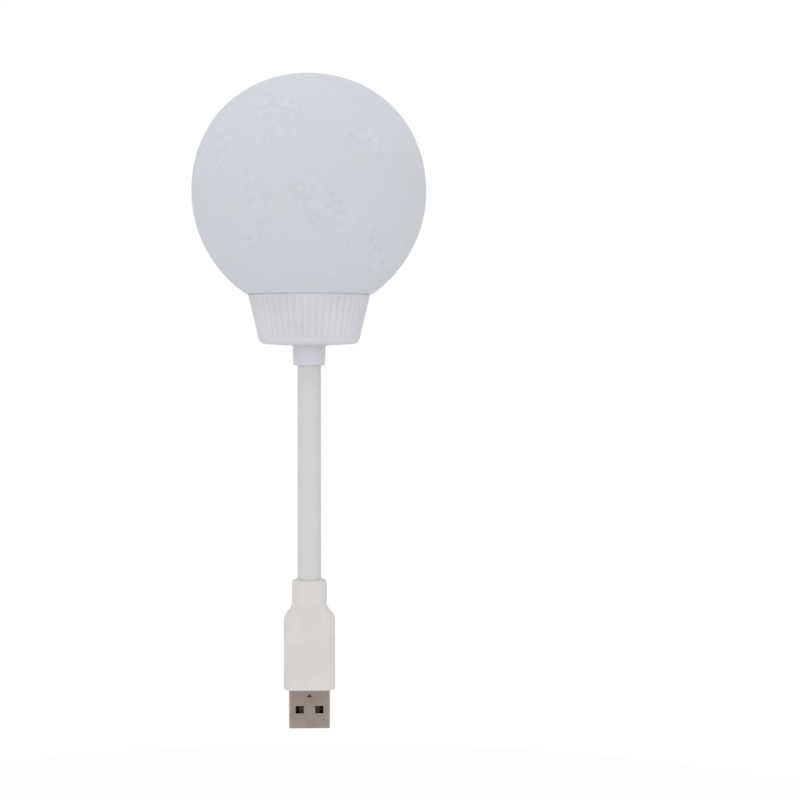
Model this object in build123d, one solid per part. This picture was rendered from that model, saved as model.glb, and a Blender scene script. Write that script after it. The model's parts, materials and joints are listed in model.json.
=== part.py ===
from build123d import *
import math
import os

# A plug-in night light: a white globe on a bendable neck that stands on a USB-A plug.
# Millimetres. +Z runs from the plug up to the globe, X across the plug's width, and -Y is the front.
# The origin is the middle of the seat plane, where the plug's metal shell leaves its overmould.

# Heights along the axis, which add up to the lamp's whole length
plug_reach = 11.25
mould_height = 31.95
neck_exposed = 62.35
stem_height = 5.7
collar_height = 14.85
globe_rise = 29.9
globe_radius = 34.0

# Clearances
mould_fit = 0.05
push_fit = 0.1
end_gap = 0.1
link_gap = 0.15

# Plug shell, folded from sheet
shell_width = 12.0
shell_thickness = 4.5
shell_sheet = 0.3
shell_corner = 0.65
shell_anchor = 6.5
window_width = 2.4
window_height = 2.2
window_spacing = 5.7
window_from_tip = 5.45
lance_width = 1.75
lance_height = 0.95
lance_drop = 1.25
seam_gap = 0.1
seam_key_height = 3.0
seam_key_reach = 0.8
seam_key_flare = 0.4

# Contact tongue and contacts
tongue_thickness = 1.84
tongue_setback = 0.4
plug_cavity_depth = 9.2
contact_width = 1.0
contact_thickness = 0.25
contact_stand = 0.05
power_contact_offset = 3.5
data_contact_offset = 1.0
power_contact_setback = 1.7
data_contact_setback = 2.7
power_tail = 3.0
data_tail = 1.0
solder_radius = 0.9
solder_length = 2.4
solder_round = 0.45

# Plug overmould, outside
mould_side_wall = 1.42
mould_front_wall = 1.1
mould_collar_wall = 1.62
mould_collar_height = 6.6
shoulder_height = 5.4
shoulder_crest_margin = 0.3
mould_edge_radius = 3.4
mould_bottom_radius = 0.4
mould_top_radius = 0.9

# Inner mould, which seals the contact tails and the start of the leads
mould_skin = 1.65
inner_mould_straight = 7.5
inner_mould_corner = 1.2

# Neck: a sleeve over a metal hose, with two leads inside
neck_diameter = 6.8
hose_bore = 3.2
hose_wall = 0.8
sleeve_in_mould = 5.0
sleeve_in_stem = 2.5
lead_diameter = 1.0
lead_clearance = 0.15
lead_straight = 2.0
lead_bend = 3.0

# Neck links: the bend is shared out over hinges that turn about X and Y in turn
joint_count = 10
joint_from_end = 4.35
link_round_margin = 0.3

# Ferrules at the two ends of the hose
ferrule_base = 0.8
lower_cup_depth = 3.7
lower_flange_stand = 0.4
lower_flange_height = 1.0
stub_diameter = 5.0
stub_end = 0.4
washer_diameter = 9.0
washer_thickness = 0.5
nut_across_flats = 8.0
nut_height = 2.5

# Ribbed collar with its stem
stem_wall = 1.15
stem_flare = 0.25
stem_root_radius = 0.3
collar_bottom_diameter = 28.35
collar_top_diameter = 35.45
collar_wall = 1.7
collar_edge_radius = 2.1
underside_rise = 0.55
floor_thickness = 2.1
ferrule_seat_thickness = 1.8
rim_bevel = 0.2
rib_count = 48
rib_depth = 0.34
flute_radius = 0.85
rib_lip = 0.5
rib_runout = 1.8

# Globe, whose dome is a little fuller than half a sphere
globe_dome_reach = 19.7
globe_wall = 1.6
globe_overhang = 0.35
rim_width = 2.45
spigot_length = 5.0
spigot_end_gap = 0.2
bead_stand = 0.2
bead_height = 1.0

# Light board and what is on it
board_edge_gap = 2.4
board_thickness = 1.2
board_lead_gap = 0.3
boss_height = 5.4
boss_diameter = 4.4
boss_from_edge = 3.0
screw_shank_diameter = 2.0
screw_length = 5.0
screw_head_diameter = 3.6
screw_head_height = 1.3
screw_head_side = 0.65
screw_head_dome = 2.9
screw_slot_length = 2.2
screw_slot_width = 0.5
screw_slot_depth = 0.6
led_count = 6
led_from_edge = 3.3
led_width = 2.8
led_length = 3.5
led_height = 0.8
led_rim = 0.4
phosphor_depth = 0.4
resistor_length = 3.2
resistor_width = 1.6
resistor_height = 0.6
resistor_bevel = 0.08
resistor_offset = 4.7
pad_offset = 4.0
pad_solder_radius = 1.1
pad_lead_rise = 1.9
pad_lead_bend = 0.9

# Derived heights
tip_z = -plug_reach
stem_bottom_z = mould_height + neck_exposed
underside_z = stem_bottom_z + stem_height
rim_z = underside_z + collar_height
equator_z = rim_z + globe_rise
sleeve_bottom_z = mould_height - sleeve_in_mould
sleeve_top_z = stem_bottom_z + sleeve_in_stem
lower_ferrule_top_z = sleeve_bottom_z - end_gap
hose_bottom_z = lower_ferrule_top_z - lower_cup_depth
lower_ferrule_bottom_z = hose_bottom_z - ferrule_base
upper_ferrule_bottom_z = sleeve_top_z + end_gap
floor_top_z = underside_z + floor_thickness
ferrule_seat_z = floor_top_z - ferrule_seat_thickness
hose_top_z = ferrule_seat_z - ferrule_base
washer_top_z = floor_top_z + washer_thickness
nut_top_z = washer_top_z + nut_height
board_bottom_z = floor_top_z + boss_height
board_top_z = board_bottom_z + board_thickness
spigot_bottom_z = rim_z - spigot_length
first_joint_z = mould_height + joint_from_end
joint_step = (neck_exposed - 2 * joint_from_end) / (joint_count - 1)
joint_heights = [first_joint_z + index * joint_step for index in range(joint_count)]

# Derived widths and radii
neck_radius = neck_diameter / 2
hose_bore_radius = hose_bore / 2
hose_radius = hose_bore_radius + hose_wall
sleeve_bore_radius = hose_radius + mould_fit
lead_radius = lead_diameter / 2
lead_offset = hose_bore_radius - lead_clearance - lead_radius
ferrule_bore_radius = hose_radius + mould_fit
ferrule_radius = neck_radius
flange_radius = ferrule_radius + lower_flange_stand
link_round = neck_radius + link_round_margin
mould_width = shell_width + 2 * mould_side_wall
mould_thickness = neck_diameter + 2 * mould_front_wall
mould_collar_width = neck_diameter + 2 * mould_collar_wall
shoulder_start = mould_height - mould_collar_height - shoulder_height
shoulder_crest_radius = mould_edge_radius + shoulder_crest_margin
stem_bore_radius = neck_radius + mould_fit
stem_bottom_radius = neck_radius + stem_wall
stem_top_radius = stem_bottom_radius + stem_flare
stub_radius = stub_diameter / 2
socket_radius = collar_top_diameter / 2 - rim_width
spigot_radius = socket_radius - push_fit
tongue_face_y = shell_thickness / 2 - shell_sheet - mould_fit - tongue_thickness
tail_y = tongue_face_y - contact_stand + contact_thickness / 2


def turned(outline):
    """A solid of revolution about Z, from a closed outline of radius and height."""
    return revolve(Plane.XZ * make_face(outline), Axis.Z)


def ring(outer_radius, inner_radius, low, high):
    """A straight tube about Z."""
    outline = Polyline(
        (inner_radius, low),
        (outer_radius, low),
        (outer_radius, high),
        (inner_radius, high),
        close=True,
    )
    return turned(outline)


def rounded_bar(width, thickness, corner, low, high):
    """An upright bar of rounded rectangular section."""
    section = RectangleRounded(width, thickness, corner)
    return Pos(0, 0, low) * extrude(section, high - low)


def both_sides(shape):
    """A shape and its mirror image across the middle plane of the plug."""
    return Compound([*shape.solids(), *mirror(shape, Plane.YZ).solids()])


def save(name, shape):
    export_step(shape, f"parts/{name}.step")


# Plug

def shell_block(grow):
    return rounded_bar(
        shell_width + 2 * grow,
        shell_thickness + 2 * grow,
        shell_corner + grow,
        tip_z,
        shell_anchor + grow,
    )


def usb_shell():
    """Sheet-metal shell with two latch windows front and back, a punched mark and a keyed seam."""
    hollow = rounded_bar(
        shell_width - 2 * shell_sheet,
        shell_thickness - 2 * shell_sheet,
        shell_corner - shell_sheet,
        tip_z,
        shell_anchor,
    )
    shell = shell_block(0) - hollow
    window = Box(window_width, 2 * shell_thickness, window_height)
    window_z = tip_z + window_from_tip
    for side in (-1, 1):
        shell -= Pos(side * window_spacing / 2, 0, window_z) * window
    mark = Polyline(
        (0, -lance_drop),
        (lance_width / 2, -lance_drop - lance_height),
        (-lance_width / 2, -lance_drop - lance_height),
        close=True,
    )
    shell -= extrude(Plane.XZ * make_face(mark), shell_thickness)
    key_low = (tip_z - seam_key_height) / 2
    key_high = (tip_z + seam_key_height) / 2
    seam_line = Polyline(
        (0, tip_z - seam_gap),
        (0, key_low),
        (-seam_key_reach, key_low - seam_key_flare),
        (-seam_key_reach, key_high + seam_key_flare),
        (0, key_high),
        (0, shell_anchor + seam_gap),
    )
    seam = trace(seam_line, seam_gap)
    shell -= extrude(Plane.XZ * seam, -shell_thickness)
    return shell


def contact_strip(offset, setback, tail, grow=0):
    low = tip_z + setback - grow
    high = shell_anchor + tail + grow
    strip = Box(contact_width + 2 * grow, contact_thickness + 2 * grow, high - low)
    return Pos(offset, tail_y, (low + high) / 2) * strip


def contact_strips(grow=0):
    strips = []
    for side in (-1, 1):
        strips.append(contact_strip(side * power_contact_offset, power_contact_setback, power_tail, grow))
        strips.append(contact_strip(side * data_contact_offset, data_contact_setback, data_tail, grow))
    return strips


def usb_tongue():
    """Insulator: a thin tongue in the back half of the shell, and a block that fills the shell's rear."""
    width = shell_width - 2 * shell_sheet - 2 * mould_fit
    back_y = tongue_face_y + tongue_thickness
    low = tip_z + tongue_setback
    tongue = Pos(0, tongue_face_y, low) * Box(
        width, tongue_thickness, shell_anchor - low, align=(Align.CENTER, Align.MIN, Align.MIN)
    )
    block_low = tip_z + plug_cavity_depth
    block = Pos(0, -back_y, block_low) * Box(
        width, 2 * back_y, shell_anchor - block_low, align=(Align.CENTER, Align.MIN, Align.MIN)
    )
    corner = max(shell_corner - shell_sheet, mould_fit)
    outline = rounded_bar(width, 2 * back_y, corner, tip_z, shell_anchor)
    return ((tongue + block) & outline) - contact_strips(mould_fit)


def plug_lead_path():
    start_z = shell_anchor + power_tail + end_gap
    corner = start_z + lead_straight
    entry = lower_ferrule_bottom_z - lead_straight
    return FilletPolyline(
        (power_contact_offset, tail_y, start_z),
        (power_contact_offset, tail_y, corner),
        (lead_offset, 0, entry),
        (lead_offset, 0, joint_heights[0] + link_round),
        radius=lead_bend,
    )


def lead_along(path, grow=0):
    section = Circle(lead_radius + grow)
    return sweep(Plane(path @ 0, z_dir=path % 0) * section, path)


def contact_solder():
    """Two solder joints between the power contacts' tails and the leads."""
    middle_z = shell_anchor + power_tail
    bead = Pos(power_contact_offset, tail_y, middle_z) * Cylinder(solder_radius, solder_length)
    bead = fillet(bead.edges(), solder_round)
    bead -= contact_strip(power_contact_offset, power_contact_setback, power_tail, mould_fit)
    bead -= lead_along(plug_lead_path(), mould_fit)
    return both_sides(bead)


def solder_space():
    middle_z = shell_anchor + power_tail
    space = Cylinder(solder_radius + mould_fit, solder_length + 2 * mould_fit)
    return both_sides(Pos(power_contact_offset, tail_y, middle_z) * space)


def inner_mould_block(grow):
    low = shell_anchor + mould_fit - grow
    high = lower_ferrule_bottom_z - mould_fit + grow
    bend = low + inner_mould_straight
    half = mould_width / 2 - mould_skin + grow
    top_half = flange_radius + grow
    outline = Polyline(
        (-half, low),
        (half, low),
        (half, bend),
        (top_half, high),
        (-top_half, high),
        (-half, bend),
        close=True,
    )
    half_thickness = mould_thickness / 2 - mould_skin + grow
    block = extrude(Plane.XZ * make_face(outline), half_thickness, both=True)
    long_edges = block.faces().filter_by(Axis.Y).edges().filter_by(Axis.X, reverse=True)
    return fillet(long_edges, inner_mould_corner)


def plug_inner_mould():
    block = inner_mould_block(0)
    block -= contact_strips(mould_fit)
    block -= solder_space()
    block -= both_sides(lead_along(plug_lead_path(), mould_fit))
    return block


def ferrule_outline_lower(grow):
    radius = ferrule_radius + grow
    flange = flange_radius + grow
    low = lower_ferrule_bottom_z - grow
    flange_top = lower_ferrule_bottom_z + lower_flange_height + grow
    high = lower_ferrule_top_z + grow
    return Polyline(
        (0, low),
        (flange, low),
        (flange, flange_top),
        (radius, flange_top),
        (radius, high),
        (0, high),
        close=True,
    )


def lower_ferrule():
    """Brass cup crimped on the hose's lower end, with a flange that the overmould grips."""
    body = turned(ferrule_outline_lower(0))
    body -= ring(ferrule_bore_radius, 0, hose_bottom_z, mould_height)
    return body - ring(hose_bore_radius, 0, 0, mould_height)


def mould_outline():
    """Front outline of the overmould: a wide body, S-shaped shoulders and a narrow collar."""
    half = mould_width / 2
    collar_half = mould_collar_width / 2
    turn = 2 * math.atan2(half - collar_half, shoulder_height)
    valley_radius = shoulder_height / math.sin(turn) - shoulder_crest_radius
    body_side = Line((half, 0), (half, shoulder_start))
    crest = JernArc(body_side @ 1, (0, 1), shoulder_crest_radius, math.degrees(turn))
    valley = JernArc(crest @ 1, crest % 1, valley_radius, -math.degrees(turn))
    collar_side = Line(valley @ 1, (collar_half, mould_height))
    right = body_side + crest + valley + collar_side
    bottom = Line((-half, 0), (half, 0))
    top = Line((-collar_half, mould_height), (collar_half, mould_height))
    return bottom + right + top + mirror(right, Plane.YZ)


def plug_overmould():
    """Soft outer body of the plug, moulded over the shell's rear, the inner mould and the neck's end."""
    body = extrude(Plane.XZ * make_face(mould_outline()), mould_thickness / 2, both=True)
    long_edges = body.faces().filter_by(Axis.Y).edges().filter_by(Axis.X, reverse=True)
    body = fillet(long_edges, mould_edge_radius)
    body = fillet(body.edges().group_by(Axis.Z)[0], mould_bottom_radius)
    body = fillet(body.edges().group_by(Axis.Z)[-1], mould_top_radius)
    body -= shell_block(mould_fit)
    body -= inner_mould_block(mould_fit)
    body -= turned(ferrule_outline_lower(mould_fit))
    return body - ring(neck_radius + mould_fit, 0, sleeve_bottom_z - mould_fit, mould_height)


# Neck

def below_joint(index, radius):
    """All that lies under a neck hinge, closed above by a round about the hinge's axis."""
    reach = 2 * link_round
    turn = (0, 90, 0) if index % 2 == 0 else (90, 0, 0)
    drum = Cylinder(radius, 2 * reach, rotation=turn)
    depth = mould_height + neck_exposed
    block = Box(2 * reach, 2 * reach, depth, align=(Align.CENTER, Align.CENTER, Align.MAX))
    return Pos(0, 0, joint_heights[index]) * (drum + block)


def neck_link(piece, index):
    """The stretch of a neck piece between one hinge and the next."""
    if index < joint_count:
        piece = piece & below_joint(index, link_round)
    if index > 0:
        piece = piece - below_joint(index - 1, link_round + link_gap)
    return piece


def neck_leads(low, high):
    lead = Pos(lead_offset, 0, low) * extrude(Circle(lead_radius), high - low)
    return both_sides(lead)


# Head

def upper_ferrule():
    """Brass cup crimped on the hose's upper end, with a stub that passes through the collar's floor."""
    stub_top_z = nut_top_z + stub_end
    body = ring(ferrule_radius, 0, upper_ferrule_bottom_z, ferrule_seat_z)
    body += ring(stub_radius, 0, ferrule_seat_z, stub_top_z)
    body -= ring(ferrule_bore_radius, 0, upper_ferrule_bottom_z, hose_top_z)
    return body - ring(hose_bore_radius, 0, upper_ferrule_bottom_z, stub_top_z)


def ferrule_washer():
    return ring(washer_diameter / 2, stub_radius + push_fit, floor_top_z, washer_top_z)


def ferrule_nut():
    hexagon = RegularPolygon(nut_across_flats / 2, 6, major_radius=False)
    nut = Pos(0, 0, washer_top_z) * extrude(hexagon, nut_height)
    return nut - ring(stub_radius + mould_fit, 0, washer_top_z, nut_top_z)


def collar_radius(z):
    """Outer radius of the collar's tapered wall at a height."""
    share = (z - underside_z) / collar_height
    return (collar_bottom_diameter + share * (collar_top_diameter - collar_bottom_diameter)) / 2


def collar_outside():
    edge_z = underside_z + underside_rise
    outline = Polyline(
        (0, stem_bottom_z),
        (stem_bottom_radius, stem_bottom_z),
        (stem_top_radius, underside_z),
        (collar_radius(edge_z), edge_z),
        (collar_radius(rim_z - rim_bevel), rim_z - rim_bevel),
        (collar_radius(rim_z) - rim_bevel, rim_z),
        (0, rim_z),
        close=True,
    )
    face = make_face(outline)
    edge = face.vertices().sort_by_distance((collar_radius(edge_z), edge_z))[:1]
    face = fillet(edge, collar_edge_radius)
    root = face.vertices().sort_by_distance((stem_top_radius, underside_z))[:1]
    face = fillet(root, stem_root_radius)
    return revolve(Plane.XZ * face, Axis.Z)


def flute_cutters():
    """Round-nosed cutters that run up the tapered wall and leave the ribs standing between them."""
    low_z = underside_z + underside_rise + rib_runout
    high_z = rim_z - rib_lip
    lean = math.atan2(collar_top_diameter - collar_bottom_diameter, 2 * collar_height)
    out = (flute_radius - rib_depth) / math.cos(lean)
    low = Vector(collar_radius(low_z) + out, 0, low_z)
    high = Vector(collar_radius(high_z) + out, 0, high_z)
    run = high - low
    bar = Plane(low, z_dir=run) * extrude(Circle(flute_radius), run.length)
    cutter = bar + Pos(low) * Sphere(flute_radius) + Pos(high) * Sphere(flute_radius)
    return [Rot(0, 0, 360 * index / rib_count) * cutter for index in range(rib_count)]


def bead_line(radius, height, stand, middle_z):
    """A shallow round bulge on a wall of the given radius, from below upward."""
    return ThreePointArc(
        (radius, middle_z - height / 2), (radius + stand, middle_z), (radius, middle_z + height / 2)
    )


def collar_inside():
    """Hollow of the collar: a tapered well, a socket for the globe's spigot and the neck's bore."""
    ledge_z = spigot_bottom_z - spigot_end_gap
    bead_z = rim_z - spigot_length / 2
    groove = bead_line(socket_radius, bead_height + 2 * push_fit, bead_stand, bead_z)
    below = Polyline(
        (0, floor_top_z),
        (collar_radius(floor_top_z) - collar_wall, floor_top_z),
        (collar_radius(ledge_z) - collar_wall, ledge_z),
        (socket_radius, ledge_z),
        groove @ 0,
    )
    above = Polyline(groove @ 1, (socket_radius, rim_z), (0, rim_z), (0, floor_top_z))
    well = turned(below + groove + above)
    bore = ring(stem_bore_radius, 0, stem_bottom_z, ferrule_seat_z)
    stub_hole = ring(stub_radius + push_fit, 0, stem_bottom_z, floor_top_z)
    return well, bore + stub_hole


def lamp_collar():
    """Ribbed cup with a stem below, a socket above and two bosses for the light board."""
    well, bore = collar_inside()
    collar = collar_outside() - well - bore
    boss = ring(boss_diameter / 2, screw_shank_diameter / 2 + mould_fit, floor_top_z, board_bottom_z)
    for side in (-1, 1):
        collar += Pos(side * boss_offset, 0, 0) * boss
    return collar - flute_cutters()


def globe_arc_centre(radius_at_rim):
    """Radius position of the centre of the lower arc, which is upright at the equator."""
    draw_in = globe_radius - radius_at_rim
    arc_radius = (globe_rise ** 2 + draw_in ** 2) / (2 * draw_in)
    return globe_radius - arc_radius, arc_radius


def globe_dome(radius):
    """Outline of the upper half, which runs upright at the equator and level at the crown."""
    reach = globe_dome_reach * radius / globe_radius
    return Bezier(
        (radius, equator_z),
        (radius, equator_z + reach),
        (reach, equator_z + radius),
        (0, equator_z + radius),
    )


def globe():
    """Hollow globe: a full dome above, a long arc below, and a spigot that snaps into the collar."""
    rim_radius = collar_radius(rim_z) + globe_overhang
    centre, arc_radius = globe_arc_centre(rim_radius)
    inner_radius = globe_radius - globe_wall
    inner_arc = arc_radius - globe_wall
    floor_z = rim_z + globe_wall
    inner_foot = centre + math.sqrt(inner_arc ** 2 - (equator_z - floor_z) ** 2)
    spigot_inner = spigot_radius - globe_wall
    bead = bead_line(spigot_radius, bead_height, bead_stand, rim_z - spigot_length / 2)
    outer_turn = math.degrees(math.atan2(equator_z - rim_z, rim_radius - centre))
    inner_turn = math.degrees(math.atan2(equator_z - floor_z, inner_foot - centre))
    outside = CenterArc((centre, equator_z), arc_radius, -outer_turn, outer_turn)
    outside += globe_dome(globe_radius)
    crown = Line((0, equator_z + globe_radius), (0, equator_z + inner_radius))
    inside = globe_dome(inner_radius)
    inside += CenterArc((centre, equator_z), inner_arc, -inner_turn, inner_turn)
    foot = Polyline(
        (inner_foot, floor_z),
        (spigot_inner, floor_z),
        (spigot_inner, spigot_bottom_z),
        (spigot_radius, spigot_bottom_z),
        bead @ 0,
    )
    shoulder = Polyline(bead @ 1, (spigot_radius, rim_z), (rim_radius, rim_z))
    return turned(foot + bead + shoulder + outside + crown + inside)


board_radius = collar_radius(board_bottom_z) - collar_wall - board_edge_gap
boss_offset = board_radius - boss_from_edge


def led_board():
    lead_hole = hose_bore_radius + board_lead_gap
    board = ring(board_radius, lead_hole, board_bottom_z, board_top_z)
    hole = ring(screw_shank_diameter / 2 + push_fit, 0, board_bottom_z, board_top_z)
    for side in (-1, 1):
        board -= Pos(side * boss_offset, 0, 0) * hole
    return board


def board_screws():
    """Two pan-head screws that hold the board on the collar's bosses."""
    head_radius = screw_head_diameter / 2
    shank_radius = screw_shank_diameter / 2
    head_top = board_top_z + screw_head_height
    side_top = board_top_z + screw_head_side
    end_z = board_top_z - screw_length
    shank = Polyline(
        (0, head_top),
        (0, end_z),
        (shank_radius, end_z),
        (shank_radius, board_top_z),
        (head_radius, board_top_z),
        (head_radius, side_top),
    )
    dome = RadiusArc((head_radius, side_top), (0, head_top), -screw_head_dome)
    screw = turned(shank + dome)
    slot = Box(screw_slot_length, screw_slot_width, 2 * screw_slot_depth)
    screw -= Pos(0, 0, head_top) * (slot + Rot(0, 0, 90) * slot)
    return both_sides(Pos(boss_offset, 0, 0) * screw)


def led_places():
    """Places of the lights on the board, half a step off the screws."""
    return PolarLocations(board_radius - led_from_edge, led_count, start_angle=180 / led_count)


def phosphor_block():
    width = led_width - 2 * led_rim
    length = led_length - 2 * led_rim
    block = Box(width, length, phosphor_depth, align=(Align.CENTER, Align.CENTER, Align.MAX))
    return Pos(0, 0, board_top_z + led_height) * block


def led_packages():
    package = Box(led_width, led_length, led_height, align=(Align.CENTER, Align.CENTER, Align.MIN))
    package = Pos(0, 0, board_top_z) * package - phosphor_block()
    return Compound([place * package for place in led_places()])


def led_phosphor():
    return Compound([place * phosphor_block() for place in led_places()])


def led_resistors():
    seat = (Align.CENTER, Align.CENTER, Align.MIN)
    chip = Box(resistor_length, resistor_width, resistor_height, align=seat)
    chip = chamfer(chip.edges().filter_by(Axis.X), resistor_bevel)
    return Compound([Pos(0, side * resistor_offset, board_top_z) * chip for side in (-1, 1)])


def head_lead_path():
    return FilletPolyline(
        (lead_offset, 0, joint_heights[-1]),
        (lead_offset, 0, board_top_z + pad_lead_rise),
        (pad_offset, 0, board_top_z + lead_radius + end_gap),
        radius=pad_lead_bend,
    )


def lead_solder():
    """Two solder domes where the leads meet the board."""
    above = Box(
        2 * board_radius, 2 * board_radius, board_radius, align=(Align.CENTER, Align.CENTER, Align.MIN)
    )
    dome = Pos(pad_offset, 0, board_top_z) * (Sphere(pad_solder_radius) & above)
    return both_sides(dome - lead_along(head_lead_path(), mould_fit))


os.makedirs("parts", exist_ok=True)

save("usb_shell", usb_shell())
save("usb_tongue", usb_tongue())
save("usb_contacts", Compound([strip.solid() for strip in contact_strips()]))
save("contact_solder", contact_solder())
save("plug_inner_mould", plug_inner_mould())
save("plug_overmould", plug_overmould())
save("lower_ferrule", lower_ferrule())

sleeve = ring(neck_radius, sleeve_bore_radius, sleeve_bottom_z, sleeve_top_z)
hose = ring(hose_radius, hose_bore_radius, hose_bottom_z, hose_top_z)
straight_leads = neck_leads(joint_heights[0], joint_heights[-1] + link_round)
for index in range(joint_count + 1):
    save(f"neck_sleeve_{index:02d}", neck_link(sleeve, index))
    save(f"neck_hose_{index:02d}", neck_link(hose, index))
    if 0 < index < joint_count:
        save(f"neck_lead_{index:02d}", neck_link(straight_leads, index))
save("plug_leads", neck_link(both_sides(lead_along(plug_lead_path())), 0))
save("head_leads", neck_link(both_sides(lead_along(head_lead_path())), joint_count))

save("upper_ferrule", upper_ferrule())
save("ferrule_washer", ferrule_washer())
save("ferrule_nut", ferrule_nut())
save("lamp_collar", lamp_collar())
save("globe", globe())
save("led_board", led_board())
save("board_screws", board_screws())
save("led_packages", led_packages())
save("led_phosphor", led_phosphor())
save("led_resistors", led_resistors())
save("lead_solder", lead_solder())
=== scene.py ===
import json
import math

import bpy
import numpy as np
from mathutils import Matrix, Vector, noise


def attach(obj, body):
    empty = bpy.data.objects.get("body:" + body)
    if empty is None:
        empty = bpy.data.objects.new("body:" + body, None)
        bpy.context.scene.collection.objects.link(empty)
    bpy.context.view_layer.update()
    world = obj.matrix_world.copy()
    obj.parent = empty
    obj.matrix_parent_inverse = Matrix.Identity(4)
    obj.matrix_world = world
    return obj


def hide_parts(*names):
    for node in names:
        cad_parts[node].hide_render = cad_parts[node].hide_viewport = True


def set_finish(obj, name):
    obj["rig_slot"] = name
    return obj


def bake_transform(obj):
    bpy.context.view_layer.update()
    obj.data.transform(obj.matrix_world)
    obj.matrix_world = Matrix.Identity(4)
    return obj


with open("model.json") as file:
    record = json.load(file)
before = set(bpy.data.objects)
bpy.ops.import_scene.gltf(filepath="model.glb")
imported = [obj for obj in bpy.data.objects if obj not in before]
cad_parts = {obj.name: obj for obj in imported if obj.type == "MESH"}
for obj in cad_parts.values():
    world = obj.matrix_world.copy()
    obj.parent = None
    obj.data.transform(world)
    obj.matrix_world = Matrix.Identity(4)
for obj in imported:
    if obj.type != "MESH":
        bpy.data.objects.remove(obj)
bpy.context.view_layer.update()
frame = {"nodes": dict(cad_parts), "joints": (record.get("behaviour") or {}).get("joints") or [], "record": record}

# Looks of a plug-in night light: a white globe on a bendable neck that stands on a USB-A plug.
# Sizes are in millimetres, as in the part's source, and meshes are made in metres.

MM = 0.001

# Clearances round what is set into the plug body and stem, and round the globe's spigot
FIT = 0.05
SPIGOT_FIT = 0.1
SPIGOT_END_GAP = 0.2

# Sizes along the axis
NECK_EXPOSED = 62.35
SLEEVE_IN_MOULD = 5.0
SLEEVE_IN_STEM = 2.5
STEM_HEIGHT = 5.7
COLLAR_HEIGHT = 14.85
COLLAR_FLOOR_THICKNESS = 2.1
FERRULE_SEAT_THICKNESS = 1.8
SPIGOT_LENGTH = 5.0
GLOBE_RISE = 29.9

# Heights along the axis, from the seat plane of the plug
SHELL_TOP = 6.5
MOULD_TOP = 31.95
SLEEVE_BOTTOM = MOULD_TOP - SLEEVE_IN_MOULD
STEM_BOTTOM = MOULD_TOP + NECK_EXPOSED
SLEEVE_TOP = STEM_BOTTOM + SLEEVE_IN_STEM
UNDERSIDE = STEM_BOTTOM + STEM_HEIGHT
COLLAR_FLOOR = UNDERSIDE + COLLAR_FLOOR_THICKNESS
FERRULE_SEAT = COLLAR_FLOOR - FERRULE_SEAT_THICKNESS
RIM = UNDERSIDE + COLLAR_HEIGHT
SPIGOT_BOTTOM = RIM - SPIGOT_LENGTH
SOCKET_FLOOR = SPIGOT_BOTTOM - SPIGOT_END_GAP
EQUATOR = RIM + GLOBE_RISE

# Neck: its bore is wider than the solid sleeve's, so that the hose clears it where the neck bends
NECK_RADIUS = 3.4
NECK_BORE = 3.22
NECK_ROW = 0.37
NECK_COLUMNS = 64

# Plug body
MOULD_HALF_WIDTH = 7.42
MOULD_HALF_THICKNESS = 4.5
MOULD_EDGE = 3.4
MOULD_COLLAR_HALF = 5.02
MOULD_COLLAR_HEIGHT = 6.6
SHOULDER_HEIGHT = 5.4
SHOULDER_START = MOULD_TOP - MOULD_COLLAR_HEIGHT - SHOULDER_HEIGHT
SHOULDER_CREST = 3.7
MOULD_BOTTOM_ROUND = 0.4
MOULD_TOP_ROUND = 0.9
PARTING_STAND = 0.04
PARTING_HALF = 0.14
SHELL_HALF_WIDTH = 6.0
SHELL_HALF_THICKNESS = 2.25
SHELL_CORNER = 0.65

# Rows of points up the plug body: bottom round, body, shoulder, collar and top round
MOULD_ROWS = (8, 10, 25, 6, 7)

# Steps of a plug section's corners and wide sides, and half the flat that a round section keeps
SECTION_CORNER_STEPS = 14
SECTION_WIDE_STEPS = 6
SECTION_HALF_FLAT = 0.001

# Collar
STEM_BOTTOM_RADIUS = 4.55
STEM_TOP_RADIUS = 4.8
COLLAR_BOTTOM_RADIUS = 14.175
COLLAR_TOP_RADIUS = 17.725
COLLAR_EDGE = 2.1
COLLAR_WALL = 1.7
UNDERSIDE_RISE = 0.55
RIM_WIDTH = 2.45
SOCKET_RADIUS = COLLAR_TOP_RADIUS - RIM_WIDTH
STUB_HOLE = 2.6
STEM_MOUTH_ROUND = 0.12
STEM_END_ROUND = 0.3
STEM_ROOT_ROUND = 0.35
COLLAR_RIM_ROUND = 0.25
SOCKET_MOUTH_ROUND = 0.2
CAVITY_TOP_ROUND = 0.3
CAVITY_FLOOR_ROUND = 0.6

# Ribs of the collar: each end of the flutes fades out over a height, of which a share lies past the end
RIB_COUNT = 48
RIB_DEPTH = 0.34
FLUTE_RADIUS = 0.85
RIB_LIP = 0.5
RIB_LIP_FADE = 0.5
RIB_LIP_SHARE = 0.5
RIB_RUNOUT = 1.8
RIB_RUNOUT_FADE = 0.8
RIB_RUNOUT_SHARE = 0.6
RIB_COLUMNS = 12

# Rows of points up the tapered wall, how far they stay from its ends, and how near counts as on it
WALL_ROWS = 40
WALL_FROM_EDGE = 0.1
WALL_FROM_RIM = 0.3
WALL_NEAR = 0.02

# Globe: the last two values are shares of the rim's round, from its outer side and from its bottom
GLOBE_RADIUS = 34.0
GLOBE_DOME_REACH = 19.7
GLOBE_WALL = 1.6
GLOBE_OVERHANG = 0.35
SPIGOT_RADIUS = SOCKET_RADIUS - SPIGOT_FIT
GLOBE_COLUMNS = 384
GLOBE_STEP = 0.55
GLOBE_INNER_DOME_ROWS = 30
GLOBE_INNER_FOOT_ROWS = 18
GLOBE_RIM_RADIUS = COLLAR_TOP_RADIUS + GLOBE_OVERHANG
GLOBE_RIM_ROUND = 0.3
GLOBE_RIM_ACROSS = 0.3
GLOBE_RIM_UP = 0.22

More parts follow.
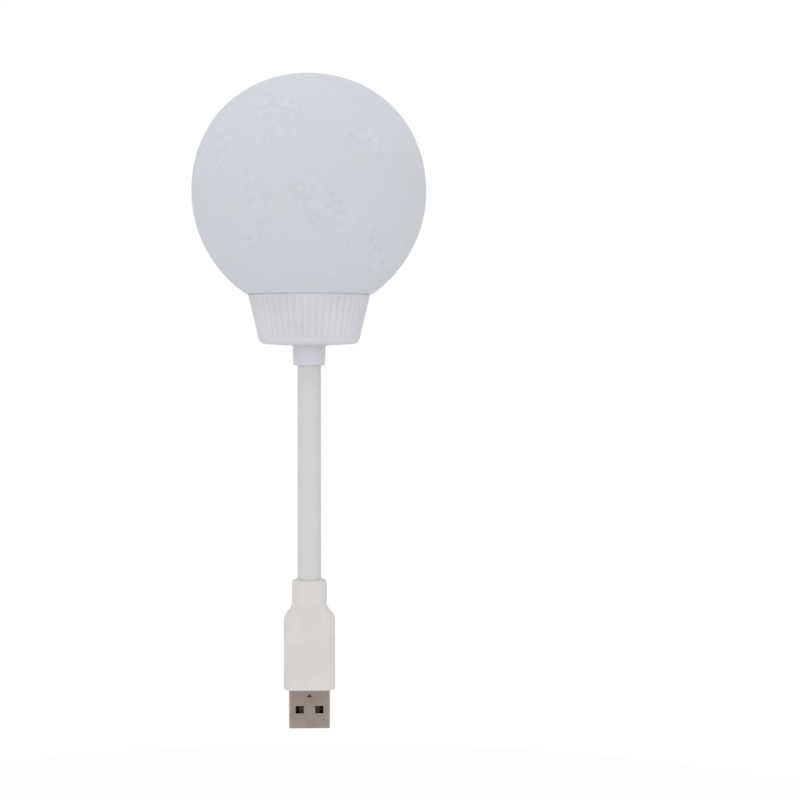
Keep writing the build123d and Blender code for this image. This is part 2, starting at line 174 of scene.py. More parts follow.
# Kinds of pits: how many, smallest and largest radius, and greatest depth as a share of the radius
PIT_KINDS = [(14, 2.8, 5.0, 0.018), (70, 1.2, 2.4, 0.03), (150, 0.6, 1.1, 0.06)]

# Choice of pits: seed, places tried for each, weight of chance among them, and least share of the depth
CRATER_SEED = 19
PIT_TRIES = 4
PIT_SCATTER = 0.2
PIT_LEAST_DEPTH = 0.55

# Form of a pit, as shares of its radius, and the height of its lip as a share of its depth
PIT_REACH = 2.2
BOWL_RADIUS = 0.95
LIP_RADIUS = 1.02
LIP_WIDTH = 0.22
LIP_HEIGHT = 0.35

# Rough patches, plains and grain: the noise that makes them, and their heights
NOISE_STEP = 2.0
CRATER_SHIFT = Vector((-6.8, 18.9, -4.2))
PATCH_SCALE = 2.6
PATCH_START = -0.05
PATCH_FADE = 0.55
PLAIN_SCALE = 2.1
PLAIN_HEIGHT = 0.07
GRAIN_SCALE = 19.0
GRAIN_FALL = 0.7
GRAIN_HEIGHT = 0.02
PATCH_GRAIN_HEIGHT = 0.035

# Painted shade and highlight that follow pits and grain: largest pit with it, depth of a full one, and share of
# the grain
SHADED_PIT_SIZE = 1.6
FULL_SHADING_DEPTH = 0.09
GRAIN_SHADING_SHARE = 0.9

# Band above the globe's rim that stays plain, and the height over which the relief begins above it
PLAIN_RIM = 0.8
PLAIN_RIM_FADE = 3.5


# Meshes

def add_object(name, data):
    """A new object in the scene."""
    made = bpy.data.objects.new(name, data)
    bpy.context.scene.collection.objects.link(made)
    return made


def add_piece(name, points, faces, sharp_angle):
    """A new object from points in millimetres, shaded smooth with its sharp edges kept."""
    mesh = bpy.data.meshes.new(name)
    mesh.from_pydata((np.asarray(points, float) * MM).tolist(), [], faces)
    mesh.shade_smooth()
    mesh.set_sharp_from_angle(angle=math.radians(sharp_angle))
    return add_object(name, mesh)


def ring_faces(first, second, count):
    """Quads between two rings of points, given by the number of each ring's first point."""
    return [
        (first + i, first + (i + 1) % count, second + (i + 1) % count, second + i)
        for i in range(count)
    ]


def loft(name, rings, closed, sharp_angle=35):
    """A mesh through rings of equal count. It is closed ring to ring, or else by a fan at either end."""
    count = len(rings[0])
    points = [p for ring in rings for p in ring]
    faces = []
    for index in range(len(rings) - 1):
        faces += ring_faces(index * count, (index + 1) * count, count)
    last = (len(rings) - 1) * count
    if closed:
        faces += ring_faces(last, 0, count)
    else:
        points += [np.mean(rings[0], axis=0), np.mean(rings[-1], axis=0)]
        low, high = len(points) - 2, len(points) - 1
        faces += [((i + 1) % count, i, low) for i in range(count)]
        faces += [(last + i, last + (i + 1) % count, high) for i in range(count)]
    return add_piece(name, points, faces, sharp_angle)


def circle(radius, z, count):
    """Points round the axis. The radius is one number or one for each point."""
    turn = np.linspace(0, 2 * math.pi, count, endpoint=False)
    return np.stack([radius * np.cos(turn), radius * np.sin(turn), np.full(count, z)], axis=1)


def rounded(corners, steps=6):
    """A closed outline through corners of (across, up, radius), each rounded by its radius."""
    outline = []
    for index, (across, up, radius) in enumerate(corners):
        here = np.array((across, up))
        if not radius:
            outline.append(here)
            continue
        back = np.array(corners[index - 1][:2]) - here
        ahead = np.array(corners[(index + 1) % len(corners)][:2]) - here
        back = back / np.linalg.norm(back)
        ahead = ahead / np.linalg.norm(ahead)
        half = math.acos(back @ ahead) / 2
        bisector = (back + ahead) / np.linalg.norm(back + ahead)
        centre = here + bisector * radius / math.sin(half)
        reach = radius / math.tan(half)
        first = here + back * reach - centre
        last = here + ahead * reach - centre
        turn = math.pi - 2 * half
        for share in np.linspace(0, 1, steps + 1):
            swing = math.sin((1 - share) * turn) * first + math.sin(share * turn) * last
            outline.append(centre + swing / math.sin(turn))
    return outline


def smoothstep(value):
    """0 up to 0, 1 from 1 on, and an even S between them."""
    value = np.clip(value, 0, 1)
    return value * value * (3 - 2 * value)


# Neck: one stretch of sleeve for each joint, from the middle of a link to that of the next

def neck_stretch(name, low, high):
    """A stretch of sleeve that keeps its place at rest in an attribute, which its material reads."""
    heights = np.linspace(low, high, round((high - low) / NECK_ROW) + 1)
    outside = [circle(NECK_RADIUS, z, NECK_COLUMNS) for z in heights]
    inside = [circle(NECK_BORE, z, NECK_COLUMNS) for z in heights[::-1]]
    piece = loft(name, outside + inside, closed=True)
    rest = piece.data.attributes.new("rest", "FLOAT_VECTOR", "POINT")
    rest.data.foreach_set("vector", [c for v in piece.data.vertices for c in v.co])
    return piece


def build_neck():
    """All stretches of the sleeve. The first and last reach into the plug body and the stem."""
    joints = frame["joints"]
    heights = [joint["pos_m"][2] / MM for joint in joints]
    half_link = (heights[1] - heights[0]) / 2
    stretches = []
    for index, joint in enumerate(joints):
        first, last = index == 0, index == len(joints) - 1
        low = SLEEVE_BOTTOM if first else heights[index] - half_link
        high = SLEEVE_TOP if last else heights[index] + half_link
        piece = neck_stretch(f"sleeve_bend_{index + 1:02d}", low, high)
        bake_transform(piece)
        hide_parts(f"neck_sleeve_{index + 1:02d}")
        if first:
            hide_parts("neck_sleeve_00")
        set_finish(piece, "white_sleeve")
        stretches.append(piece)
    return stretches


# Plug body

def plug_section(half_width, half_thickness, corner, z, parting=0):
    """A rounded rectangle of points, with a fine parting line on its two narrow sides."""
    flat_x = half_width - corner
    flat_y = half_thickness - corner
    turns = np.linspace(0, math.pi / 2, SECTION_CORNER_STEPS + 1)
    quarter = np.stack([flat_x + corner * np.cos(turns), flat_y + corner * np.sin(turns)], axis=1)
    ends = (flat_x, half_thickness), (-flat_x, half_thickness)
    top_side = np.linspace(*ends, SECTION_WIDE_STEPS + 1)[1:-1]
    line_half = min(PARTING_HALF, flat_y / 4)
    right_side = np.array([(half_width + parting, 0), (half_width, line_half), (half_width, flat_y / 2)])
    mirrored = (quarter * (-1, 1))[::-1]
    left_side = (right_side[1:] * (-1, 1))[::-1]
    upper = np.concatenate([right_side, quarter, top_side, mirrored, left_side])
    ring = np.concatenate([upper, upper * (-1, -1)])
    return np.column_stack([ring, np.full(len(ring), z)])


def mould_half_width(z):
    """Half the plug body's width at a height: straight, an S-shaped shoulder, and straight again."""
    drop = MOULD_HALF_WIDTH - MOULD_COLLAR_HALF
    turn = 2 * math.atan2(drop, SHOULDER_HEIGHT)
    valley = SHOULDER_HEIGHT / math.sin(turn) - SHOULDER_CREST
    up = z - SHOULDER_START
    if up <= 0:
        return MOULD_HALF_WIDTH
    if up <= SHOULDER_CREST * math.sin(turn):
        return MOULD_HALF_WIDTH - SHOULDER_CREST + math.sqrt(SHOULDER_CREST ** 2 - up ** 2)
    left = SHOULDER_HEIGHT - up
    if left <= 0:
        return MOULD_COLLAR_HALF
    return MOULD_COLLAR_HALF + valley - math.sqrt(valley ** 2 - left ** 2)


def build_plug_body():
    """The plug body as one skin: out of the shell's pocket, up the outside and down the neck's bore."""
    bottom_rows, body_rows, shoulder_rows, collar_rows, top_rows = MOULD_ROWS
    rings = []

    def add_outside(z, inset=0):
        half = mould_half_width(z) - inset
        thickness = MOULD_HALF_THICKNESS - inset
        stand = 0 if inset else PARTING_STAND
        rings.append(plug_section(half, thickness, MOULD_EDGE - inset, z, stand))

    shell = (SHELL_HALF_WIDTH + FIT, SHELL_HALF_THICKNESS + FIT, SHELL_CORNER + FIT)
    rings.append(plug_section(*shell, SHELL_TOP + FIT))
    rings.append(plug_section(*shell, 0))
    for turn in np.linspace(0, math.pi / 2, bottom_rows):
        edge = MOULD_BOTTOM_ROUND
        add_outside(edge * (1 - math.cos(turn)), edge * (1 - math.sin(turn)))
    shoulder_end = SHOULDER_START + SHOULDER_HEIGHT
    for low, high, rows in [
        (MOULD_BOTTOM_ROUND, SHOULDER_START, body_rows),
        (SHOULDER_START, shoulder_end, shoulder_rows),
        (shoulder_end, MOULD_TOP - MOULD_TOP_ROUND, collar_rows),
    ]:
        for z in np.linspace(low, high, rows)[1:]:
            add_outside(z)
    for turn in np.linspace(0, math.pi / 2, top_rows)[1:]:
        edge = MOULD_TOP_ROUND
        add_outside(MOULD_TOP - edge * (1 - math.sin(turn)), edge * (1 - math.cos(turn)))
    bore = NECK_RADIUS + FIT
    rings.append(plug_section(bore, bore, bore - SECTION_HALF_FLAT, MOULD_TOP))
    rings.append(plug_section(bore, bore, bore - SECTION_HALF_FLAT, SLEEVE_BOTTOM - FIT))
    piece = loft("plug_body", rings, closed=False)
    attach(piece, "plug")
    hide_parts("plug_overmould")
    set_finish(piece, "white_overmould")
    return piece


# Collar

def collar_radius(z):
    """Radius of the tapered wall at a height."""
    share = (z - UNDERSIDE) / (RIM - UNDERSIDE)
    return COLLAR_BOTTOM_RADIUS + share * (COLLAR_TOP_RADIUS - COLLAR_BOTTOM_RADIUS)


def rib_weight(radius, z):
    """How far the flutes are cut in at a point of the outline: fully on the tapered wall only."""
    if abs(radius - collar_radius(z)) > WALL_NEAR:
        return 0
    low = UNDERSIDE + UNDERSIDE_RISE + RIB_RUNOUT
    above = smoothstep((z - low) / RIB_RUNOUT_FADE + RIB_RUNOUT_SHARE)
    below = smoothstep((RIM - RIB_LIP - z) / RIB_LIP_FADE + RIB_LIP_SHARE)
    return above * below


def flute_depth(turn, radius):
    """Depth of the flutes round the collar, which are rounds of one radius at even steps."""
    pitch = 2 * math.pi / RIB_COUNT
    across = radius * ((turn + pitch / 2) % pitch - pitch / 2)
    cut = np.sqrt(np.maximum(FLUTE_RADIUS ** 2 - across ** 2, 0)) - FLUTE_RADIUS + RIB_DEPTH
    return np.maximum(cut, 0)


def build_collar():
    """The ribbed collar and its stem, turned from one outline of corners with their rounds."""
    edge_z = UNDERSIDE + UNDERSIDE_RISE
    wall = np.linspace(edge_z + COLLAR_EDGE + WALL_FROM_EDGE, RIM - WALL_FROM_RIM, WALL_ROWS)
    corners = [
        (NECK_RADIUS + FIT, STEM_BOTTOM, STEM_MOUTH_ROUND),
        (STEM_BOTTOM_RADIUS, STEM_BOTTOM, STEM_END_ROUND),
        (STEM_TOP_RADIUS, UNDERSIDE, STEM_ROOT_ROUND),
        (collar_radius(edge_z), edge_z, COLLAR_EDGE),
        *[(collar_radius(z), z, 0) for z in wall],
        (collar_radius(RIM), RIM, COLLAR_RIM_ROUND),
        (SOCKET_RADIUS, RIM, SOCKET_MOUTH_ROUND),
        (SOCKET_RADIUS, SOCKET_FLOOR, 0),
        (collar_radius(SOCKET_FLOOR) - COLLAR_WALL, SOCKET_FLOOR, CAVITY_TOP_ROUND),
        (collar_radius(COLLAR_FLOOR) - COLLAR_WALL, COLLAR_FLOOR, CAVITY_FLOOR_ROUND),
        (STUB_HOLE, COLLAR_FLOOR, 0),
        (STUB_HOLE, FERRULE_SEAT, 0),
        (NECK_RADIUS + FIT, FERRULE_SEAT, 0),
    ]
    count = RIB_COUNT * RIB_COLUMNS
    turn = np.linspace(0, 2 * math.pi, count, endpoint=False)
    rings = [
        circle(radius - rib_weight(radius, z) * flute_depth(turn, radius), z, count)
        for radius, z in rounded(corners)
    ]
    piece = loft("collar", rings, closed=True, sharp_angle=40)
    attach(piece, "head")
    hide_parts("lamp_collar")
    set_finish(piece, "white_collar")
    return piece


# Globe

def field(directions, scale, octaves, fall=1.0, shift=Vector((0, 0, 0))):
    """Noise over the globe, at unit directions from its centre."""
    places = [Vector(d) * scale + shift for d in directions]
    return np.array([noise.fractal(p, fall, NOISE_STEP, octaves) for p in places])


def patchiness(directions):
    """A slow field over the globe that is high where pits and rough patches crowd together."""
    return field(directions, PATCH_SCALE, octaves=2, shift=CRATER_SHIFT)


def crater_relief(directions):
    """Heights of a shallow relief with pits and rough patches, and the painted shade and highlight that follow
    them.

    Both are for unit directions from the globe's centre. The painted shading is below 0 in a hollow, for painted
    shade, and above 0 on a crest, for painted highlight.
    """
    chance = np.random.default_rng(CRATER_SEED)
    height = np.zeros(len(directions))
    painted_shading = np.zeros(len(directions))
    for count, small, large, depth_share in PIT_KINDS:
        middles = chance.normal(size=(PIT_TRIES * count, 3))
        middles /= np.linalg.norm(middles, axis=1)[:, None]
        crowd = patchiness(middles) + PIT_SCATTER * chance.normal(size=len(middles))
        middles = middles[np.argsort(crowd)[-count:]]
        sizes = small * (large / small) ** chance.random(count)
        depths = sizes * depth_share * chance.uniform(PIT_LEAST_DEPTH, 1.0, count)
        for middle, size, depth in zip(middles, sizes, depths):
            away = np.arccos(np.clip(directions @ middle, -1, 1)) * GLOBE_RADIUS / size
            near = away < PIT_REACH
            bowl = smoothstep(away[near] / BOWL_RADIUS) - 1
            lip = LIP_HEIGHT * np.exp(-(((away[near] - LIP_RADIUS) / LIP_WIDTH) ** 2))
            height[near] += depth * (bowl + lip)
            # Painted shading follows the small pits: dark in their bowls, light on their lips
            if size < SHADED_PIT_SIZE:
                painted_shading[near] += depth / FULL_SHADING_DEPTH * (bowl + lip)
    plains = field(directions, PLAIN_SCALE, octaves=3)
    grain = field(directions, GRAIN_SCALE, octaves=3, fall=GRAIN_FALL)
    rough = smoothstep((patchiness(directions) - PATCH_START) / PATCH_FADE)
    height += PLAIN_HEIGHT * plains + (GRAIN_HEIGHT + PATCH_GRAIN_HEIGHT * rough) * grain
    # Painted shading also follows the grain in rough patches: lighter where it stands up, darker where it sinks
    return height, np.clip(painted_shading + GRAIN_SHADING_SHARE * rough * grain, -1, 1)


def globe_dome(radius, count):
    """Outline of the upper half from the equator to the crown, a little fuller than a quarter circle."""
    reach = GLOBE_DOME_REACH * radius / GLOBE_RADIUS
    along = np.linspace(0, 1, count)
    back = 1 - along
    near = back ** 3 + 3 * back ** 2 * along
    across = radius * near + reach * 3 * back * along ** 2
    up = radius * near[::-1] + reach * 3 * back ** 2 * along
    return list(zip(across, EQUATOR + up))


def globe_outline():
    """The globe's outline in two parts of (across, up): the smooth one, and the outside with its relief.

    The smooth part goes down the inside, round the spigot and onto the rim.
    """
    draw_in = GLOBE_RADIUS - GLOBE_RIM_RADIUS
    rise = EQUATOR - RIM
    arc = (rise ** 2 + draw_in ** 2) / (2 * draw_in)
    centre = GLOBE_RADIUS - arc

    def lower_half(radius, turns):
        return [(centre + radius * math.cos(t), EQUATOR + radius * math.sin(t)) for t in turns]

    rim_turn = math.asin(rise / arc)
    rim_turns = np.linspace(-rim_turn, 0, int(arc * rim_turn / GLOBE_STEP))
    dome = globe_dome(GLOBE_RADIUS, int(GLOBE_RADIUS * math.pi / 2 / GLOBE_STEP))
    outside = lower_half(arc, rim_turns)[1:] + dome[1:-1]
    foot_z = RIM + GLOBE_WALL
    foot_turn = math.asin((EQUATOR - foot_z) / (arc - GLOBE_WALL))
    foot_turns = np.linspace(0, -foot_turn, GLOBE_INNER_FOOT_ROWS)
    inner_dome = globe_dome(GLOBE_RADIUS - GLOBE_WALL, GLOBE_INNER_DOME_ROWS)
    inside = inner_dome[-2::-1] + lower_half(arc - GLOBE_WALL, foot_turns)[1:]
    spigot_bore = SPIGOT_RADIUS - GLOBE_WALL
    foot = [
        (spigot_bore, foot_z),
        (spigot_bore, SPIGOT_BOTTOM),
        (SPIGOT_RADIUS, SPIGOT_BOTTOM),
        (SPIGOT_RADIUS, RIM),
    ]
    rim_round = [
        (GLOBE_RIM_RADIUS - GLOBE_RIM_ROUND, RIM),
        (GLOBE_RIM_RADIUS - GLOBE_RIM_ACROSS * GLOBE_RIM_ROUND, RIM + GLOBE_RIM_UP * GLOBE_RIM_ROUND),
    ]
    return inside + foot + rim_round, outside


def build_globe():
    """The globe as one skin, with its relief and, on the outside, the painted shade and highlight that follow it.
    """
    smooth, outside = globe_outline()
    outline = smooth + outside
    first = len(smooth)
    rings = np.array([circle(radius, z, GLOBE_COLUMNS) for radius, z in outline])
    shown = rings[first:].reshape(-1, 3)
    middle = np.array((0, 0, EQUATOR))
    directions = (shown - middle) / np.linalg.norm(shown - middle, axis=1)[:, None]
    clear = smoothstep((shown[:, 2] - RIM - PLAIN_RIM) / PLAIN_RIM_FADE)
    relief, painted_shading = crater_relief(directions)
    relief *= clear
    rings[first:] = (shown + directions * relief[:, None]).reshape(-1, GLOBE_COLUMNS, 3)
    piece = loft("moon_globe", list(rings), closed=False, sharp_angle=60)
    # Painted shade and highlight of the relief, kept on the outside's points for the globe's material
    values = np.zeros(len(piece.data.vertices), np.float32)
    values[first * GLOBE_COLUMNS:len(outline) * GLOBE_COLUMNS] = painted_shading * clear
    kept = piece.data.attributes.new("painted_shading", "FLOAT", "POINT")
    kept.data.foreach_set("value", values)
    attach(piece, "head")
    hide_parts("globe")
    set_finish(piece, "white_globe")
    return piece


# Materials: tones are screen colours at places of a ramp, and widths, depths and reaches are millimetres

# Globe: mottled tones, range of roughness, width and depth of its coarse and fine grain, and softness
GLOBE_TONES = [(0.36, (204, 207, 210)), (0.64, (205, 208, 215))]
GLOBE_MOTTLE = 17.0
GLOBE_ROUGH = (0.55, 0.7)
GLOBE_MATTE = 0.4
GLOBE_SHEEN = 0.15
GLOBE_COARSE_WIDTH = 1.6
GLOBE_COARSE_DEPTH = 0.05
GLOBE_FINE_WIDTH = 0.3
GLOBE_FINE_DEPTH = 0.012
GLOBE_SOFT = 0.15
GLOBE_SOFT_REACH = 2.0

# Painted shade in the globe's hollows and painted highlight on its crests: tone, largest share of it, and the
# shading from and to which it runs
HOLLOW_SHADE_TONE = (186, 189, 196)
HOLLOW_SHARE = 0.44
HOLLOW_SHADING_RANGE = (-1.0, -0.05)
CREST_HIGHLIGHT_TONE = (214, 217, 224)
CREST_SHARE = 0.45
CREST_SHADING_RANGE = (0.05, 0.8)

# Plastics: width of handled spots as a share of the patches, slow waves, and how far light goes in
HANDLED_SHARE = 0.35
WAVE_WIDTH = 5.0
WAVE_DEPTH_SHARE = 2
PLASTIC_SOFT_REACH = 1.5
PLASTICS = {
    "white_collar": dict(
        tones=[(0.35, (205, 204, 209)), (0.65, (210, 209, 215))],
        patch=9.0, rough=(0.36, 0.5), grain=0.35, depth=0.006, soft=0.1, sheen=0.15,
    ),
    "white_sleeve": dict(
        tones=[(0.35, (202, 202, 202)), (0.65, (208, 208, 207))],
        patch=14.0, rough=(0.42, 0.56), grain=0.5, depth=0.006, attribute="rest", sheen=0.15,
    ),
    "white_overmould": dict(
        tones=[(0.35, (209, 206, 203)), (0.65, (214, 211, 208))],
        patch=8.0, rough=(0.42, 0.58), grain=0.3, depth=0.007, soft=0.15, sheen=0.15,
    ),
    "dark_insulator": dict(
        tones=[(0.3, (82, 58, 48)), (0.7, (94, 68, 57))],
        patch=3.0, rough=(0.45, 0.6), grain=0.25, depth=0.006,
    ),
    "inner_mould": dict(
        tones=[(0.35, (206, 200, 184)), (0.65, (216, 211, 198))],
        patch=6.0, rough=(0.4, 0.55), grain=0.4, depth=0.006,
    ),
    "lead_insulation": dict(
        tones=[(0.35, (175, 175, 174)), (0.65, (184, 184, 183))],
        patch=4.0, rough=(0.35, 0.5), grain=0.4, depth=0.004,
    ),
    "white_board": dict(
        tones=[(0.35, (226, 227, 224)), (0.65, (234, 235, 232))],
        patch=4.0, rough=(0.3, 0.45), grain=0.3, depth=0.004,
    ),
    "led_case": dict(
        tones=[(0.35, (222, 220, 212)), (0.65, (230, 228, 220))],
        patch=1.5, rough=(0.35, 0.5), grain=0.2, depth=0.004,
    ),
    "phosphor": dict(
        tones=[(0.35, (232, 206, 96)), (0.65, (240, 216, 112))],
        patch=1.0, rough=(0.3, 0.45), grain=0.2, depth=0.004,
    ),
    "resistor": dict(
        tones=[(0.35, (30, 30, 32)), (0.65, (42, 42, 44))],
        patch=1.0, rough=(0.3, 0.45), grain=0.2, depth=0.004,
    ),
}

# Metals: stretch is the scale of the streaks along each axis, so a small one makes them long
TARNISH_WIDTH = 3.5
METALS = {
    "nickel_shell": dict(
        tones=[(0.3, (176, 169, 160)), (0.7, (188, 181, 172))],
        rough=(0.26, 0.38), streak=0.3, stretch=(1, 1, 0.03), depth=0.0006,
    ),
    # The contacts' tones are painted shade: far darker than gold, standing in for the shade inside the plug shell
    "gold_contact": dict(
        tones=[(0.3, (44, 32, 25)), (0.7, (54, 40, 32))],
        rough=(0.1, 0.2), streak=0.3, stretch=(1, 1, 0.05), depth=0.002,
    ),
    "solder": dict(
        tones=[(0.3, (168, 170, 172)), (0.7, (192, 194, 197))],
        rough=(0.2, 0.4), streak=0.6, stretch=(1, 1, 1), depth=0.01,
    ),
    "brass_ferrule": dict(
        tones=[(0.3, (186, 154, 92)), (0.7, (208, 178, 112))],
        rough=(0.24, 0.4), streak=0.5, stretch=(0.2, 0.2, 1), depth=0.004,
    ),
    "zinc_steel": dict(
        tones=[(0.3, (170, 172, 176)), (0.7, (196, 198, 200))],
        rough=(0.28, 0.42), streak=0.5, stretch=(0.2, 0.2, 1), depth=0.004,
    ),
    "hose_steel": dict(
        tones=[(0.3, (150, 151, 154)), (0.7, (176, 177, 180))],
        rough=(0.3, 0.45), streak=0.5, stretch=(0.2, 0.2, 1), depth=0.006,
    ),
}


def linear(colour):
    """Scene colour of a screen colour from 0 to 255."""
    shares = [c / 255 for c in colour]
    return [c / 12.92 if c <= 0.04045 else ((c + 0.055) / 1.055) ** 2.4 for c in shares] + [1.0]


def feed(tree, node, inputs):
    """Sets inputs of a node, each to a constant or by a link from a socket."""
    for key, value in inputs.items():
        if isinstance(value, bpy.types.NodeSocket):
            tree.links.new(value, node.inputs[key])
        else:
            node.inputs[key].default_value = value


def add_node(tree, kind, inputs=None, **settings):
    """A new shader node with its settings and inputs."""
    made = tree.nodes.new("ShaderNode" + kind)
    for key, value in settings.items():
        setattr(made, key, value)
    feed(tree, made, inputs or {})
    return made


def new_material(name):
    """A new material, its node tree and its shader."""
    material = bpy.data.materials.new(name)
    material.use_nodes = True
    tree = material.node_tree
    return material, tree, tree.nodes["Principled BSDF"]


def place(tree, stretch=(1, 1, 1), attribute=None):
    """Coordinates in metres: the part's own frame, or a piece's place at rest."""
    if attribute:
        source = add_node(tree, "Attribute", attribute_name=attribute).outputs["Vector"]
    else:
        source = add_node(tree, "TexCoord").outputs["Object"]
    return add_node(tree, "Mapping", {"Vector": source, "Scale": stretch}).outputs[0]


def cloud(tree, where, size, detail=3.0, rough=0.5):
    """Noise whose patches are about size millimetres wide."""
    inputs = {"Vector": where, "Scale": 1 / (size * MM), "Detail": detail, "Roughness": rough}
    return add_node(tree, "TexNoise", inputs).outputs[0]


def ramp(tree, value, tones):
    """A colour from a ramp between two screen colours at their places."""
    made = add_node(tree, "ValToRGB", {"Fac": value})
    for element, (position, colour) in zip(made.color_ramp.elements, tones):
        element.position = position
        element.color = linear(colour)
    return made.outputs["Color"]


def span(tree, value, low, high, start=0.3, end=0.7):
    """A value that runs from low to high while another runs from start to end."""
    inputs = {"Value": value, "From Min": start, "From Max": end, "To Min": low, "To Max": high}
    return add_node(tree, "MapRange", inputs).outputs[0]


def combine(tree, operation, first, second):
    """A value made of two others, each a socket or a number."""
    return add_node(tree, "Math", {0: first, 1: second}, operation=operation).outputs[0]


def mix(tree, share, colour, other):
    """A scene colour blended towards a screen colour."""
    inputs = {"Factor": share, "A": colour, "B": linear(other)}
    return add_node(tree, "Mix", inputs, data_type="RGBA").outputs["Result"]


def bump(tree, height, depth, under=None):
    """A bump of the given depth in millimetres, on top of another."""
    inputs = {"Height": height, "Strength": 1.0, "Distance": depth * MM}
    if under:
        inputs["Normal"] = under
    return add_node(tree, "Bump", inputs).outputs[0]


def plastic(name, tones, patch, rough, grain, depth, attribute=None, soft=0.0, sheen=0.5):
    """Moulded plastic: near colours in soft patches, uneven gloss and a fine moulded grain."""
    material, tree, shader = new_material(name)
    where = place(tree, attribute=attribute)
    patches = cloud(tree, where, patch, detail=4.0)
    handled = cloud(tree, where, patch * HANDLED_SHARE, detail=5.0, rough=0.6)
    waves = cloud(tree, where, WAVE_WIDTH, detail=2.0)
    grains = cloud(tree, where, grain, detail=4.0, rough=0.6)
    wavy = bump(tree, waves, depth * WAVE_DEPTH_SHARE)
    feed(tree, shader, {
        "Base Color": ramp(tree, patches, tones),
        "Roughness": span(tree, handled, *rough),
        "Normal": bump(tree, grains, depth, wavy),
        "Specular IOR Level": sheen,
        "Subsurface Weight": soft,
        "Subsurface Radius": (1.0, 1.0, 1.0),
        "Subsurface Scale": PLASTIC_SOFT_REACH * MM,
    })
    return material


def metal(name, tones, rough, streak, stretch, depth):
    """Plated or drawn metal: fine streaks along its working direction and uneven gloss."""
    material, tree, shader = new_material(name)
    streaks = cloud(tree, place(tree, stretch), streak, detail=6.0, rough=0.65)
    tarnish = cloud(tree, place(tree), TARNISH_WIDTH, detail=4.0)
    feed(tree, shader, {
        "Metallic": 1.0,
        "Base Color": ramp(tree, tarnish, tones),
        "Roughness": span(tree, streaks, *rough),
        "Normal": bump(tree, streaks, depth),
    })
    return material


def globe_material():
    """Matte white shade: soft cool mottling, painted shade in the pits, painted highlight on the crests and a fine
    grain.
    """
    material, tree, shader = new_material("white_globe")
    where = place(tree)
    mottle = cloud(tree, where, GLOBE_MOTTLE, detail=5.0, rough=0.55)
    tone = ramp(tree, mottle, GLOBE_TONES)
    # Painted shade in pits and hollows and painted highlight on crests, read from the relief's shading attribute
    painted_shading = add_node(tree, "Attribute", attribute_name="painted_shading").outputs["Fac"]
    painted_hollow_shade = mix(tree, span(tree, painted_shading, HOLLOW_SHARE, 0.0, *HOLLOW_SHADING_RANGE), tone, HOLLOW_SHADE_TONE)
    painted_crest_highlight = mix(tree, span(tree, painted_shading, 0.0, CREST_SHARE, *CREST_SHADING_RANGE), painted_hollow_shade, CREST_HIGHLIGHT_TONE)
    coarse_grain = cloud(tree, where, GLOBE_COARSE_WIDTH, detail=6.0, rough=0.62)
    fine_grain = cloud(tree, where, GLOBE_FINE_WIDTH, detail=3.0)
    coarse = bump(tree, coarse_grain, GLOBE_COARSE_DEPTH)
    feed(tree, shader, {
        "Base Color": painted_crest_highlight,
        "Roughness": span(tree, mottle, *GLOBE_ROUGH),
        "Normal": bump(tree, fine_grain, GLOBE_FINE_DEPTH, coarse),
        "Specular IOR Level": GLOBE_SHEEN,
        "Diffuse Roughness": GLOBE_MATTE,
        "Subsurface Weight": GLOBE_SOFT,
        "Subsurface Radius": (1.0, 1.0, 1.0),
        "Subsurface Scale": GLOBE_SOFT_REACH * MM,
    })
    return material


def make_materials():
    """A material for each slot of the record."""
    made = {"white_globe": globe_material()}
    for name, look in PLASTICS.items():
        made[name] = plastic(name, **look)
    for name, look in METALS.items():
        made[name] = metal(name, **look)
    return made


# Studio

WHITE = (1, 1, 1, 1)

# Floor, in millimetres, with the share of its own light that makes it white to look at
FLOOR_RADIUS = 240
FLOOR_HEIGHT = -61.5
FLOOR_COLUMNS = 96
FLOOR_COLOUR = (0.9, 0.9, 0.9, 1)
FLOOR_GLOW = 0.126

# Soft light: the direction that it is brightest from, and its strength behind and ahead
BRIGHT_SIDE = (-0.25, -0.97, 0.0)
SOFT_BEHIND = 0.76
SOFT_AHEAD = 0.97

# Dim room that only reflections show: tone and strength in its middle, and Y towards its middle and edge
ROOM_TONE = (255, 233, 225)
ROOM_STRENGTH = 0.43
ROOM_MIDDLE = -0.99
ROOM_EDGE = -0.3

# Softboxes, in metres: place, aim, width, energy and colour
SOFTBOXES = {
    "top_softbox": ((0.0, 0.0, 1.0), (0, 0, 0.1), 0.6, 1.05, (0.82, 0.9, 1.0)),
    "front_softbox": ((-0.02, -1.0, 0.2), (0, 0, 0.08), 0.45, 1.55, (1, 1, 1)),
}

# Camera: place and aim in metres, lens and sensor in millimetres
CAMERA_PLACE = (0, -0.6, 0.0975)
CAMERA_AIM = (0.02643, 0, 0.0842)
CAMERA_LENS = 92.73
CAMERA_SENSOR = 36


def ray_share(tree, glossy=1.0):
    """1 for rays of the camera and through clear things, and glossy's value for reflections."""
    path = add_node(tree, "LightPath")
    shown = combine(tree, "MAXIMUM", path.outputs["Is Camera Ray"], path.outputs["Is Transmission Ray"])
    reflected = combine(tree, "MULTIPLY", path.outputs["Is Glossy Ray"], glossy)
    return combine(tree, "MAXIMUM", shown, reflected)


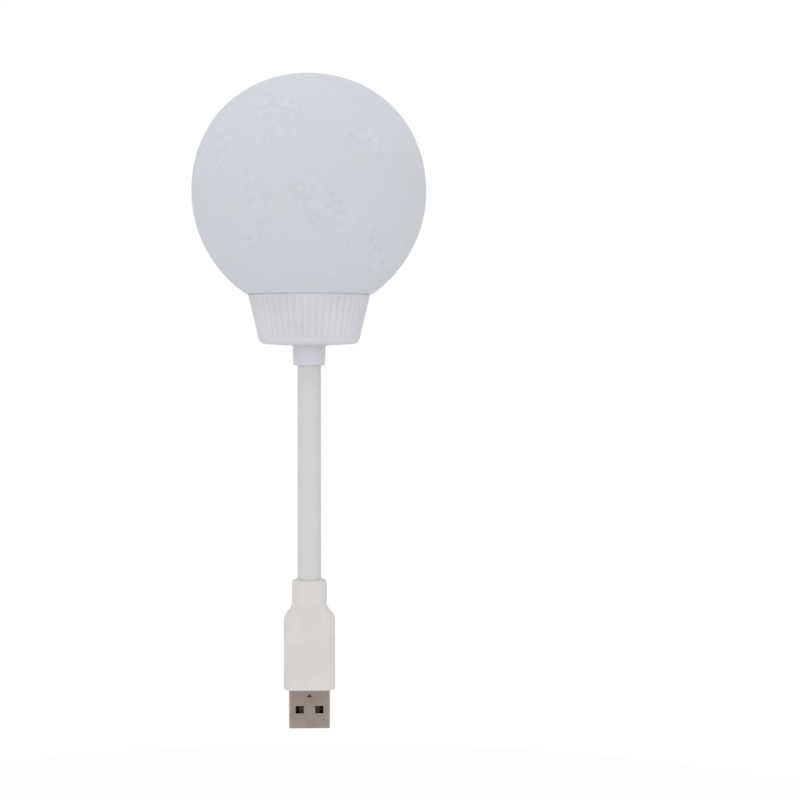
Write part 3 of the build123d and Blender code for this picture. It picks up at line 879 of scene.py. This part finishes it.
def build_world():
    """White to look at, a soft light mostly from the front, and a dim warm room in reflections."""
    world = bpy.data.worlds.new("studio")
    bpy.context.scene.world = world
    world.use_nodes = True
    world.cycles.sampling_method = "NONE"
    tree = world.node_tree
    path = add_node(tree, "LightPath")
    direction = add_node(tree, "TexCoord").outputs["Generated"]
    forward = add_node(tree, "SeparateXYZ", {0: direction}).outputs["Y"]
    room = span(tree, forward, ROOM_STRENGTH, 1.0, ROOM_MIDDLE, ROOM_EDGE)
    indoors = span(tree, forward, 1.0, 0.0, ROOM_MIDDLE, ROOM_EDGE)
    warmth = combine(tree, "MULTIPLY", path.outputs["Is Glossy Ray"], indoors)
    side = add_node(tree, "VectorMath", {0: direction, 1: BRIGHT_SIDE}, operation="DOT_PRODUCT")
    graded = span(tree, side.outputs["Value"], SOFT_BEHIND, SOFT_AHEAD, -1.0, 1.0)
    soft = combine(tree, "MULTIPLY", path.outputs["Is Diffuse Ray"], graded)
    feed(tree, tree.nodes["Background"], {
        "Color": mix(tree, warmth, WHITE, ROOM_TONE),
        "Strength": combine(tree, "MAXIMUM", ray_share(tree, room), soft),
    })


def build_floor():
    """A white disc well below the lamp, which keeps its shadow."""
    mesh = bpy.data.meshes.new("floor")
    ring = circle(FLOOR_RADIUS, FLOOR_HEIGHT, FLOOR_COLUMNS) * MM
    mesh.from_pydata(ring.tolist(), [], [tuple(range(FLOOR_COLUMNS))])
    floor = add_object("floor", mesh)
    material, tree, shader = new_material("floor_white")
    feed(tree, shader, {
        "Base Color": FLOOR_COLOUR,
        "Roughness": 1.0,
        "Specular IOR Level": 0.0,
        "Emission Color": WHITE,
        "Emission Strength": combine(tree, "MULTIPLY", ray_share(tree), FLOOR_GLOW),
    })
    mesh.materials.append(material)


def point_at(thing, location, aim):
    """Puts a lamp or camera at a place and turns it towards another."""
    thing.location = location
    thing.rotation_mode = "QUATERNION"
    thing.rotation_quaternion = (Vector(aim) - Vector(location)).to_track_quat("-Z", "Y")


def add_softbox(name, location, aim, size, energy, colour):
    """A round lamp that reflections don't show."""
    light = bpy.data.lights.new(name, "AREA")
    light.shape = "DISK"
    light.size = size
    light.energy = energy
    light.color = colour
    lamp = add_object(name, light)
    lamp.visible_glossy = False
    point_at(lamp, location, aim)


def build_camera():
    """The view of the photograph."""
    data = bpy.data.cameras.new("camera")
    data.sensor_width = CAMERA_SENSOR
    data.lens = CAMERA_LENS
    camera = add_object("camera", data)
    point_at(camera, CAMERA_PLACE, CAMERA_AIM)
    bpy.context.scene.camera = camera


materials = make_materials()
for subpart in frame["record"]["subparts"]:
    mesh = frame["nodes"][subpart["node"]].data
    mesh.materials.clear()
    mesh.materials.append(materials[subpart["material_slot"]])
for piece in [*build_neck(), build_plug_body(), build_collar(), build_globe()]:
    piece.data.materials.append(materials[piece["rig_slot"]])

build_world()
build_floor()
for name, box in SOFTBOXES.items():
    add_softbox(name, *box)
build_camera()
bpy.context.scene.view_settings.view_transform = "Standard"
